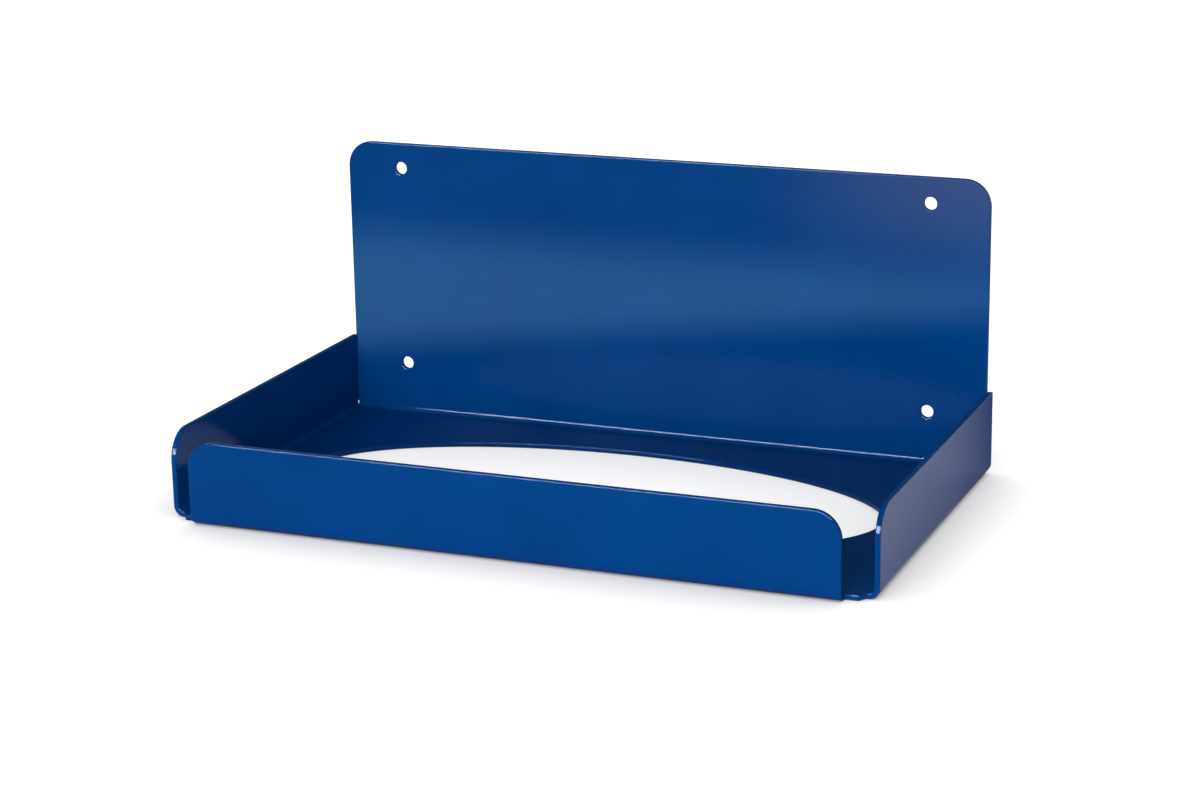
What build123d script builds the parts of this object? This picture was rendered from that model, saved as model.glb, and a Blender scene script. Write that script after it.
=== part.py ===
"""Wall-mounted paper towel dispenser: one sheet, cut flat, folded four times and powder coated.

A pack of towels lies in the tray behind the front lip, and the towels are pulled down through
the oval opening in the floor. Millimetres, +X to the right, +Y into the wall, +Z up. The origin
is the centre of the four screw holes, on the face that lies against the wall.
"""
from build123d import *
from math import isclose
import os

# Sheet and folds
sheet = 3.0  # thickness of the coated sheet
fold_inside = 3.0  # inner radius of each of the four folds
edge_round = 0.5  # the coating rounds the outer cut edges by this radius
rim_bevel = 0.4  # deburring bevel on both rims of the opening and of each screw hole
sharp_turn = 20.0  # faces that turn by more than this, in degrees, meet in a cut edge

# Tray, outside sizes, heights from the underside of the floor
tray_width = 400.0  # over the two side walls
tray_depth = 232.5  # from the wall face of the back plate to the front of the lip
side_height = 47.5  # top of the side walls
side_corner = 16.0  # rounded front top corner of a side wall
side_front = 11.0  # a side wall starts this far behind the front of the lip
side_rear = 1.0  # and stops this far short of the wall face
lip_height = 47.5  # top of the front lip
lip_side = 16.75  # each end of the lip is this far in from the outside of the side wall
lip_corner = 15.0  # rounded top corners of the lip
back_height = 168.0  # top of the back plate
back_corner = 15.0  # rounded top corners of the back plate
back_gap = 0.25  # gap between each edge of the back plate and the side wall beside it

# Floor
opening_side = 30.5  # from the outside of a side wall to the end of the oval opening
opening_rear = 36.5  # from the wall face to the opening
opening_front = 38.0  # from the opening to the front of the lip
fold_clear = 0.8  # the floor's cut front corners stay this far clear of the folds
front_cut = 2.8  # width of the slanting cut at each front corner
rear_slit = 0.3  # slit between the rear fold and a side fold, along their mitre
rear_relief = 3.0  # diameter of the relief hole where that slit starts

# Screw holes in the back plate
screw_hole = 7.5  # diameter
screw_side = 34.25  # from a hole's centre to the side edge of the plate
screw_top = 15.0  # from the upper pair to the top edge
screw_low = 33.0  # from the lower pair down to the underside

# Worked out from the sizes above
fold_outside = fold_inside + sheet
half_width = tray_width / 2
half_lip = half_width - lip_side
half_back = half_width - sheet - back_gap
half_length = half_width - opening_side  # of the oval opening, from its middle
half_depth = (tray_depth - opening_rear - opening_front) / 2
opening_y = -opening_rear - half_depth
screw_x = half_back - screw_side
screw_high = back_height - screw_top
screw_centre_z = (screw_low + screw_high) / 2
side_fold_x = half_width - fold_outside  # the floor ends and a side fold begins
rear_fold_y = -fold_outside
lip_fold_y = fold_outside - tray_depth
floor_front_y = lip_fold_y + fold_clear
side_front_y = side_front - tray_depth
strip_floor = 2 * fold_outside  # a folded strip reaches this far into the floor
over = 5.0  # cutters stand proud by this much
mitre_reach = strip_floor + over  # the cutters at a rear corner reach this far from it


def fold_section(reach, rise):
    """Section of one folded strip: floor, fold, and upright with its outer face at reach."""
    inner_end = reach - fold_outside - strip_floor
    outer = Polygon((inner_end, 0), (reach, 0), (reach, rise), (inner_end, rise), align=None)
    hollow = Polygon(
        (inner_end - over, sheet),
        (reach - sheet, sheet),
        (reach - sheet, rise + over),
        (inner_end - over, rise + over),
        align=None,
    )
    outer_foot = outer.vertices().group_by(Axis.Y)[0].sort_by(Axis.X)[-1]
    hollow_foot = hollow.vertices().group_by(Axis.Y)[0].sort_by(Axis.X)[-1]
    return fillet(outer_foot, fold_outside) - fillet(hollow_foot, fold_inside)


def folded_strip(section, outward, half):
    """A section drawn along outward and Z, carried by half its length to both sides."""
    face = Plane(origin=(0, 0, 0), x_dir=outward, z_dir=outward.cross(Vector(0, 0, 1))) * section
    return extrude(face, amount=half, both=True)


def upright_prism(points, z0, z1):
    """Prism over an outline in the XY plane."""
    outline = Pos(0, 0, z0) * Polygon(*points, align=None)
    return extrude(outline, amount=z1 - z0, dir=(0, 0, 1))


def floor_plate():
    """Flat floor between the four folds, with a slanting cut at each front corner."""
    cut_end = side_fold_x - fold_clear
    right_edge = [
        (cut_end - front_cut, floor_front_y),
        (cut_end, side_front_y),
        (side_fold_x, side_front_y),
        (side_fold_x, rear_fold_y),
    ]
    left_edge = [(-x, y) for x, y in reversed(right_edge)]
    return upright_prism(right_edge + left_edge, 0, sheet)


def front_lip():
    """Low front wall with rounded top corners."""
    lip = folded_strip(fold_section(tray_depth, lip_height), Vector(0, -1, 0), half_lip)
    corners = lip.edges().filter_by(Axis.Y).group_by(Axis.Z)[-1]
    return fillet(corners, lip_corner)


def mitre_line(side):
    """Where the rear fold meets a side fold: their common corner, and a point further out at 45 degrees."""
    start = Vector(side * side_fold_x, rear_fold_y)
    return start, start + Vector(side, 1) * mitre_reach


def back_plate():
    """Tall rear wall with rounded top corners, its fold mitred at both ends."""
    plate = folded_strip(fold_section(0, back_height), Vector(0, 1, 0), half_back)
    corners = plate.edges().filter_by(Axis.Y).group_by(Axis.Z)[-1]
    plate = fillet(corners, back_corner)
    for side in (-1, 1):
        start, end = mitre_line(side)
        front_y = start.Y - mitre_reach
        beyond = [start, end, (end.X, front_y), (start.X, front_y)]
        plate -= upright_prism(beyond, -over, fold_outside)
    return plate


def side_wall(side):
    """Low side wall with one rounded corner at the front, its fold mitred at the rear."""
    length = -side_rear - side_front_y
    wall = folded_strip(fold_section(half_width, side_height), Vector(side, 0, 0), length / 2)
    wall = Pos(0, side_front_y + length / 2, 0) * wall
    corner = wall.edges().filter_by(Axis.X).group_by(Axis.Z)[-1].sort_by(Axis.Y)[0]
    wall = fillet(corner, side_corner)
    start, end = mitre_line(side)
    inner_x = start.X - side * mitre_reach
    beyond = [start, end, (inner_x, end.Y), (inner_x, start.Y)]
    return wall - upright_prism(beyond, -over, fold_outside)


def rear_corner_cut(side):
    """Cutter for the slit along a rear mitre and the relief hole at its start."""
    start = mitre_line(side)[0]
    slit = Box(2 * fold_outside, rear_slit, fold_outside, align=(Align.MIN, Align.CENTER, Align.MIN))
    hole = Cylinder(rear_relief / 2, fold_outside, align=(Align.CENTER, Align.CENTER, Align.MIN))
    return Pos(start) * (Rot(0, 0, 90 - 45 * side) * slit + hole)


def cut_edges(solid):
    """The sharp edges along the sheet's outline.

    The short ones that run through the sheet at its corners are left out, and so are the ones
    inside the tight rear mitres.
    """
    faces_beside = {}
    for face in solid.faces():
        for edge in face.edges():
            faces_beside.setdefault(edge, []).append(face)
    sharp = []
    for edge, faces in faces_beside.items():
        middle = edge.position_at(0.5)
        in_mitre = middle.Y > rear_fold_y - rear_relief and middle.Z <= fold_outside
        through = edge.geom_type == GeomType.LINE and isclose(edge.length, sheet, rel_tol=1e-6)
        if len(faces) == 2 and not in_mitre and not through:
            first, second = [face.normal_at(middle) for face in faces]
            if first.get_angle(second) > sharp_turn:
                sharp.append(edge)
    return sharp


def flared(outline):
    """Cutter through a flat sheet, flared towards both faces so that it bevels its rims.

    outline(grow) draws the hole's outline, grown by that much all round.
    """
    straight = extrude(outline(0), amount=sheet)
    flare = loft([outline(0), Pos(0, 0, 2 * rim_bevel) * outline(2 * rim_bevel)])
    upper = Pos(0, 0, sheet - rim_bevel) * flare
    lower = Pos(0, 0, rim_bevel) * Rot(180, 0, 0) * flare
    return straight + upper + lower


def towel_opening():
    """Cutter for the oval opening in the floor."""
    oval = flared(lambda grow: Ellipse(half_length + grow, half_depth + grow))
    return Pos(0, opening_y, 0) * oval


def screw_holes():
    """Cutters for the four screw holes in the back plate."""
    drill = Rot(90, 0, 0) * flared(lambda grow: Circle(screw_hole / 2 + grow))
    return [Pos(x, 0, z) * drill for x in (-screw_x, screw_x) for z in (screw_low, screw_high)]


tray = floor_plate() + front_lip() + back_plate() + side_wall(-1) + side_wall(1)
tray -= [rear_corner_cut(side) for side in (-1, 1)]
tray = fillet(cut_edges(tray), edge_round)
tray -= [towel_opening(), *screw_holes()]
tray = Pos(0, 0, -screw_centre_z) * tray

os.makedirs("parts", exist_ok=True)
export_step(tray, "parts/dispenser_tray.step")
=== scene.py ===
"""Looks of the wall-mounted paper towel dispenser, a single folded sheet with a blue powder coat.

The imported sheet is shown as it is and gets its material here. The floor, the lamps and one card that
only reflections see are no part of it. Metres, +X to the right, +Y into the wall, +Z up. The origin is
the centre of the four screw holes, on the wall face.
"""
import math

import bpy
import numpy as np
from mathutils import Matrix, Vector


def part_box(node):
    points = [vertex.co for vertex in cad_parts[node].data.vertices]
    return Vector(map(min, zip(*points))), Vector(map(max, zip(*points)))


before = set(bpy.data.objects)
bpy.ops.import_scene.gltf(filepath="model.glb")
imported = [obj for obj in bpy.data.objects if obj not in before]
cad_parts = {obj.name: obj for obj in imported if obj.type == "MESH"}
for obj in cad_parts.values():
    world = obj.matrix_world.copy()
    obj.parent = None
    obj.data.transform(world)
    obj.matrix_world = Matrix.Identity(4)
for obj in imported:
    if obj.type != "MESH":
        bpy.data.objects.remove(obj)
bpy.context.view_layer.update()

MM = 0.001
TRAY_LOW, TRAY_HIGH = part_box("dispenser_tray")
HALF_WIDTH = TRAY_HIGH.x
FRONT = TRAY_LOW.y
UNDERSIDE = TRAY_LOW.z


# Small helpers

def linear(code):
    """The linear colour of an sRGB hex value, with full alpha."""
    parts = [int(code[i:i + 2], 16) / 255 for i in (1, 3, 5)]
    return (*[c / 12.92 if c <= 0.04045 else ((c + 0.055) / 1.055) ** 2.4 for c in parts], 1.0)


def add_node(tree, kind, sockets=(), **settings):
    """Adds a node with its own settings. Each socket, by name or number, gets a link or a value."""
    node = tree.nodes.new(kind)
    for name, value in settings.items():
        setattr(node, name, value)
    for name, value in dict(sockets).items():
        if isinstance(value, bpy.types.NodeSocket):
            tree.links.new(value, node.inputs[name])
        else:
            node.inputs[name].default_value = value
    return node


def new_material(name):
    """An empty node material."""
    material = bpy.data.materials.new(name)
    material.use_nodes = True
    material.node_tree.nodes.clear()
    return material


def object_axes(tree):
    """The X, Y and Z outputs of the object coordinates, in metres."""
    place = add_node(tree, "ShaderNodeTexCoord").outputs["Object"]
    return add_node(tree, "ShaderNodeSeparateXYZ", {"Vector": place}).outputs


def four_corners(name, corners, material):
    """A flat four-sided mesh object that belongs to the scene and not to the tray."""
    mesh = bpy.data.meshes.new(name)
    mesh.from_pydata(corners, [], [(0, 1, 2, 3)])
    flat = bpy.data.objects.new(name, mesh)
    flat.data.materials.append(material)
    bpy.context.scene.collection.objects.link(flat)
    return flat


# Powder coat

PEEL = 2 * MM  # length of the small waves of the orange peel
LONG_WAVE = 28 * MM  # length of the slow waves under it
FILM_PATCH = 60 * MM  # size of the patches where the film is a little thicker or thinner
PEEL_DEPTH = 0.07 * MM  # deeper than the real peel of some 0.01 mm, so that it shows in the render
LONG_WAVE_DEPTH = 0.02 * MM
COAT_EDGE = 1 * MM  # the coat draws back from a cut edge and rounds it by about this much


def blue_powder_coat():
    """Blue polyester powder coat on steel sheet, as on lockers and brackets.

    The powder is sprayed on dry and melts in an oven to one smooth, glossy film. That gives the eye a
    deep, even blue with the fine waves of orange peel, clear mirror images at a slant but hardly any
    straight on, and soft lines of light where the film rounds the cut edges.
    """
    material = new_material("blue_powder_coat")
    tree = material.node_tree
    place = add_node(tree, "ShaderNodeTexCoord").outputs["Object"]
    peel = add_node(tree, "ShaderNodeTexNoise", {"Vector": place, "Scale": 1 / PEEL, "Detail": 1.5})
    wave = add_node(tree, "ShaderNodeTexNoise", {"Vector": place, "Scale": 1 / LONG_WAVE, "Detail": 1.0})
    film = add_node(tree, "ShaderNodeTexNoise", {"Vector": place, "Scale": 1 / FILM_PATCH, "Detail": 3.0})
    # A thicker film covers better and is a shade lighter, and it flows out less evenly
    colour = add_node(tree, "ShaderNodeValToRGB", {"Fac": film.outputs["Fac"]})
    thin, thick = colour.color_ramp.elements
    thin.position = 0.3
    thin.color = linear("#003A78")
    thick.position = 0.7
    thick.color = linear("#003F80")
    gloss = add_node(tree, "ShaderNodeMapRange", {
        "Value": film.outputs["Fac"],
        "From Min": thin.position,
        "From Max": thick.position,
        "To Min": 0.05,
        "To Max": 0.08,
    })
    edge = add_node(tree, "ShaderNodeBevel", {"Radius": COAT_EDGE}, samples=6)
    long_bump = add_node(tree, "ShaderNodeBump", {
        "Height": wave.outputs["Fac"],
        "Distance": LONG_WAVE_DEPTH,
        "Normal": edge.outputs["Normal"],
    })
    bump = add_node(tree, "ShaderNodeBump", {
        "Height": peel.outputs["Fac"],
        "Distance": PEEL_DEPTH,
        "Normal": long_bump.outputs["Normal"],
    })
    # The level is under the usual 0.5, because the photographed coat keeps its blue seen straight on
    coat = add_node(tree, "ShaderNodeBsdfPrincipled", {
        "Base Color": colour.outputs["Color"],
        "Roughness": gloss.outputs["Result"],
        "Normal": bump.outputs["Normal"],
        "IOR": 1.5,
        "Specular IOR Level": 0.15,
        "Specular Tint": linear("#C4D4FF"),
    })
    add_node(tree, "ShaderNodeOutputMaterial", {"Surface": coat.outputs["BSDF"]})
    return material


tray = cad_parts["dispenser_tray"]
tray.data.materials.clear()
tray.data.materials.append(blue_powder_coat())


# Floor

FLOOR_HALF = 6.0  # half the floor's width
CONTACT_REACH = 160 * MM  # the shade around the tray reaches this far
# Painted shade on the floor, seen only in mirror images: dim in front of the tray, and fading to dark
# beside its rear
MIRRORED_DIM = 0.35  # how bright mirror images show the floor in front of the tray
MIRRORED_DIM_END = FRONT - 12.5 * MM  # it is that dim up to here
MIRRORED_FULL = FRONT + 42.5 * MM  # and undimmed from here on
WALL_FADE_START = -220 * MM  # along the right-hand wall its mirror image starts to fade here
WALL_FADE_END = 20 * MM  # and has faded here
WALL_SLANT = 3.44  # the camera sees floor in that wall this far behind, for each metre beside it
MIX_A, MIX_B, MIX_RESULT = 6, 7, 2  # the colour sockets of a Mix node


def seen_rays(tree):
    """1 for camera, glossy and transmission rays, which see the white surroundings, otherwise 0."""
    path = add_node(tree, "ShaderNodeLightPath").outputs
    either = add_node(tree, "ShaderNodeMath", {0: path["Is Camera Ray"], 1: path["Is Glossy Ray"]},
                      operation="MAXIMUM")
    seen = add_node(tree, "ShaderNodeMath", {0: either.outputs[0], 1: path["Is Transmission Ray"]},
                    operation="MAXIMUM")
    return seen.outputs[0]


def mirrored_floor_painted_shade(tree):
    """Painted shade on the floor in mirror images: dim in front, fading to dark beside the tray's rear."""
    place = object_axes(tree)
    front = add_node(tree, "ShaderNodeMapRange", {
        "Value": place["Y"],
        "From Min": MIRRORED_DIM_END,
        "From Max": MIRRORED_FULL,
        "To Min": MIRRORED_DIM,
        "To Max": 1.0,
    }, interpolation_type="SMOOTHSTEP")
    # The place along the wall at which the camera sees this bit of floor mirrored
    beside = add_node(tree, "ShaderNodeMath", {0: place["X"], 1: HALF_WIDTH}, operation="MAXIMUM")
    slant = add_node(tree, "ShaderNodeMath", {
        0: beside.outputs[0],
        1: -WALL_SLANT,
        2: WALL_SLANT * HALF_WIDTH,
    }, operation="MULTIPLY_ADD")
    along = add_node(tree, "ShaderNodeMath", {0: place["Y"], 1: slant.outputs[0]}, operation="ADD")
    span = add_node(tree, "ShaderNodeMapRange", {
        "Value": along.outputs[0],
        "From Min": WALL_FADE_START,
        "From Max": WALL_FADE_END,
    })
    # Painted shade in violet greys, from near white at the front of the wall to dark at its rear
    fade = add_node(tree, "ShaderNodeValToRGB", {"Fac": span.outputs["Result"]})
    fade.color_ramp.elements[0].color = linear("#FAF6FF")
    fade.color_ramp.elements[1].color = linear("#595F7C")
    middle = fade.color_ramp.elements.new(0.6)
    middle.color = linear("#CBC8DA")
    dimmed = add_node(tree, "ShaderNodeVectorMath", {
        0: fade.outputs["Color"],
        "Scale": front.outputs["Result"],
    }, operation="SCALE")
    return dimmed.outputs["Vector"]


def pale_floor():
    """Matt white board lifted to pure white for the camera, with the tray's lamp shadow and painted shade.
    """
    material = new_material("pale_floor")
    tree = material.node_tree
    matt = add_node(tree, "ShaderNodeBsdfDiffuse", {"Color": linear("#F2F2F2")})
    # Painted contact shade: ambient occlusion darkens the floor's glow near the tray, for the camera and
    # in mirror images
    shade = add_node(tree, "ShaderNodeAmbientOcclusion", {"Distance": CONTACT_REACH}, samples=8)
    glossy = add_node(tree, "ShaderNodeLightPath").outputs["Is Glossy Ray"]
    # Mirror images see the floor with its painted shade, and the camera sees it white
    white_or_mirror_shade = add_node(tree, "ShaderNodeMix", {0: glossy, MIX_A: (1, 1, 1, 1), MIX_B: mirrored_floor_painted_shade(tree)},
                    data_type="RGBA")
    colour = add_node(tree, "ShaderNodeMix", {
        0: 1.0,
        MIX_A: shade.outputs["Color"],
        MIX_B: white_or_mirror_shade.outputs[MIX_RESULT],
    }, data_type="RGBA", blend_type="MULTIPLY")
    glow = add_node(tree, "ShaderNodeEmission", {"Color": colour.outputs[MIX_RESULT], "Strength": 1.0})
    lamp_light = add_node(tree, "ShaderNodeBsdfDiffuse", {"Color": linear("#B0B0B0")})
    lifted = add_node(tree, "ShaderNodeAddShader", {0: glow.outputs[0], 1: lamp_light.outputs[0]})
    seen = add_node(tree, "ShaderNodeMixShader", {"Fac": glossy, 1: lifted.outputs[0], 2: glow.outputs[0]})
    mix = add_node(tree, "ShaderNodeMixShader", {
        "Fac": seen_rays(tree),
        1: matt.outputs[0],
        2: seen.outputs[0],
    })
    add_node(tree, "ShaderNodeOutputMaterial", {"Surface": mix.outputs[0]})
    return material


floor_corners = [
    (-FLOOR_HALF, -FLOOR_HALF, UNDERSIDE),
    (FLOOR_HALF, -FLOOR_HALF, UNDERSIDE),
    (FLOOR_HALF, FLOOR_HALF, UNDERSIDE),
    (-FLOOR_HALF, FLOOR_HALF, UNDERSIDE),
]
four_corners("floor", floor_corners, pale_floor())


# Surroundings and lamps

LAMP_AIM = (0, -0.1, -0.02)  # the middle of the tray


def surroundings():
    """Even light on the tray. The camera and the gloss see white low down and dark higher up."""
    world = bpy.data.worlds.new("surroundings")
    world.use_nodes = True
    tree = world.node_tree
    tree.nodes.clear()
    way = add_node(tree, "ShaderNodeTexCoord").outputs["Generated"]
    rise = add_node(tree, "ShaderNodeSeparateXYZ", {"Vector": way}).outputs["Z"]
    height = add_node(tree, "ShaderNodeMapRange", {
        "Value": rise,
        "From Min": 0.03,
        "From Max": 0.2,
        "To Min": 1.0,
        "To Max": 0.12,
    }, interpolation_type="SMOOTHSTEP")
    level = add_node(tree, "ShaderNodeMix", {
        "Factor": seen_rays(tree),
        "A": 0.28,
        "B": height.outputs["Result"],
    })
    light = add_node(tree, "ShaderNodeBackground", {
        "Strength": level.outputs["Result"],
        "Color": (1, 1, 1, 1),
    })
    add_node(tree, "ShaderNodeOutputWorld", {"Surface": light.outputs[0]})
    return world


def first_mirror_only(data):
    """Keeps a lamp out of mirror images that come off two faces, so that it only draws edge lines."""
    data.use_nodes = True
    tree = data.node_tree
    tree.nodes.clear()
    # At the lamp the depth is 2 after one mirror image and 3 after two
    depth = add_node(tree, "ShaderNodeLightPath").outputs["Ray Depth"]
    first = add_node(tree, "ShaderNodeMath", {0: depth, 1: 2.5}, operation="LESS_THAN")
    glow = add_node(tree, "ShaderNodeEmission", {"Strength": first.outputs[0]})
    add_node(tree, "ShaderNodeOutputLight", {"Surface": glow.outputs[0]})


def softbox(name, place, target, width, height, watts, lights=True):
    """A rectangular lamp aimed at target. It lights the tray, or only shines in its gloss."""
    data = bpy.data.lights.new(name, "AREA")
    data.shape = "RECTANGLE"
    data.size = width
    data.size_y = height
    data.energy = watts
    lamp = bpy.data.objects.new(name, data)
    lamp.location = place
    lamp.rotation_euler = (Vector(target) - Vector(place)).to_track_quat("-Z", "Y").to_euler()
    lamp.visible_diffuse = lights
    lamp.visible_glossy = not lights
    if not lights:
        first_mirror_only(data)
    bpy.context.scene.collection.objects.link(lamp)


bpy.context.scene.world = surroundings()
# The key lamp stands low, so that the lip shades the floor of the tray and the rim of its opening
softbox("key", (0.1, -2.2, 0.46), LAMP_AIM, width=1.4, height=0.55, watts=39)
softbox("shine", (-0.35, -2.1, 0.55), LAMP_AIM, width=1.8, height=0.9, watts=300, lights=False)
softbox("side", (1.5, 0.5, 0.35), (HALF_WIDTH, -0.05, -0.05), width=0.5, height=0.5, watts=4.5)
softbox("back", (0, 2.2, 0.5), (0, 0, -0.02), width=1.4, height=0.55, watts=16)


# Light across the back plate

CARD_Y = -6 * MM  # the card stands 3 mm before the plate, so it reads on the plate as if painted there
CARD_HALF_HEIGHT = 80 * MM
BAND_SLOPE = 0.128  # the band's lower edge climbs this much towards the right
BAND_LOW = -26.4 * MM  # height of that edge in the middle of the plate
BAND_LOW_SOFT = 16 * MM  # and the distance above and below it over which it fades
BAND_TOP = (-1 * MM, 39 * MM)  # the upper edge fades between these heights
SHEEN_RIGHT = (40 * MM, 197 * MM)  # the sheen at the upper right corner grows from one X to the other
SHEEN_TOP = (2 * MM, 76 * MM)  # and between these heights


def band_glow():
    """Soft wedge of light across the plate and a sheen at its upper right corner.

    The photograph shows both, and no mirror image of the tray itself explains them. The card shines
    towards the plate only. Its colours undo the coat's tint, which they come back through.
    """
    material = new_material("band_glow")
    tree = material.node_tree
    place = object_axes(tree)
    low = add_node(tree, "ShaderNodeMath", {0: place["X"], 1: BAND_SLOPE, 2: BAND_LOW},
                   operation="MULTIPLY_ADD")
    above = add_node(tree, "ShaderNodeMath", {0: place["Z"], 1: low.outputs[0]}, operation="SUBTRACT")
    rise = add_node(tree, "ShaderNodeMapRange", {
        "Value": above.outputs[0],
        "From Min": -BAND_LOW_SOFT,
        "From Max": BAND_LOW_SOFT,
    }, interpolation_type="SMOOTHSTEP")
    fall = add_node(tree, "ShaderNodeMapRange", {
        "Value": place["Z"],
        "From Min": BAND_TOP[0],
        "From Max": BAND_TOP[1],
        "To Min": 1.0,
        "To Max": 0.0,
    }, interpolation_type="SMOOTHSTEP")
    band_level = add_node(tree, "ShaderNodeMath", {0: rise.outputs["Result"], 1: fall.outputs["Result"]},
                          operation="MULTIPLY")
    right = add_node(tree, "ShaderNodeMapRange", {
        "Value": place["X"],
        "From Min": SHEEN_RIGHT[0],
        "From Max": SHEEN_RIGHT[1],
    }, interpolation_type="SMOOTHSTEP")
    top = add_node(tree, "ShaderNodeMapRange", {
        "Value": place["Z"],
        "From Min": SHEEN_TOP[0],
        "From Max": SHEEN_TOP[1],
    }, interpolation_type="SMOOTHSTEP")
    sheen_level = add_node(tree, "ShaderNodeMath", {0: right.outputs["Result"], 1: top.outputs["Result"]},
                           operation="MULTIPLY")
    clear = add_node(tree, "ShaderNodeBsdfTransparent").outputs[0]
    cool = add_node(tree, "ShaderNodeEmission", {"Color": linear("#BCFFFB"), "Strength": 5.6})
    warm = add_node(tree, "ShaderNodeEmission", {"Color": linear("#FFD47C"), "Strength": 6.4})
    band = add_node(tree, "ShaderNodeMixShader", {
        "Fac": band_level.outputs[0],
        1: clear,
        2: cool.outputs[0],
    })
    both = add_node(tree, "ShaderNodeMixShader", {
        "Fac": sheen_level.outputs[0],
        1: band.outputs[0],
        2: warm.outputs[0],
    })
    plate_side = add_node(tree, "ShaderNodeNewGeometry").outputs["Backfacing"]
    shown = add_node(tree, "ShaderNodeMixShader", {"Fac": plate_side, 1: clear, 2: both.outputs[0]})
    add_node(tree, "ShaderNodeOutputMaterial", {"Surface": shown.outputs[0]})
    return material


card_corners = [
    (-HALF_WIDTH, CARD_Y, -CARD_HALF_HEIGHT),
    (HALF_WIDTH, CARD_Y, -CARD_HALF_HEIGHT),
    (HALF_WIDTH, CARD_Y, CARD_HALF_HEIGHT),
    (-HALF_WIDTH, CARD_Y, CARD_HALF_HEIGHT),
]
card = four_corners("band_card", card_corners, band_glow())
card.visible_camera = False
card.visible_diffuse = False
card.visible_transmission = False
card.visible_shadow = False


# Camera

PHOTO_WIDTH = 1200  # pixels
FOCAL_PIXELS = 2823.7025
SENSOR_WIDTH = 36.0  # mm
YAW, PITCH, ROLL = (math.radians(angle) for angle in (22.1746199, 16.1806587, -0.9323119))
FOOT_FROM_LENS = (35.618639, 22.876845, 1667.207842)  # mm right, down and ahead, to the back's foot


def camera_matrix():
    """Place and turn of the camera, as solved from the photograph's straight edges and holes."""
    back = np.array([math.sin(YAW) * math.cos(PITCH), -math.cos(YAW) * math.cos(PITCH), math.sin(PITCH)])
    level = np.array([math.cos(YAW), math.sin(YAW), 0])
    upright = np.cross(back, level)
    right = math.cos(ROLL) * level + math.sin(ROLL) * upright
    up = math.cos(ROLL) * upright - math.sin(ROLL) * level
    foot = np.array([0, 0, UNDERSIDE])
    place = foot - (np.array([right, -up, -back]).T @ np.array(FOOT_FROM_LENS)) * MM
    turned = Matrix(np.array([right, up, back]).T.tolist()).to_4x4()
    return Matrix.Translation(place.tolist()) @ turned


camera_data = bpy.data.cameras.new("camera")
camera_data.sensor_fit = "HORIZONTAL"
camera_data.sensor_width = SENSOR_WIDTH
camera_data.lens = FOCAL_PIXELS * SENSOR_WIDTH / PHOTO_WIDTH
camera_data.clip_start = 0.05
camera_data.clip_end = 50.0
camera = bpy.data.objects.new("camera", camera_data)
camera.matrix_world = camera_matrix()
bpy.context.scene.collection.objects.link(camera)
bpy.context.scene.camera = camera
bpy.context.scene.view_settings.view_transform = "Standard"
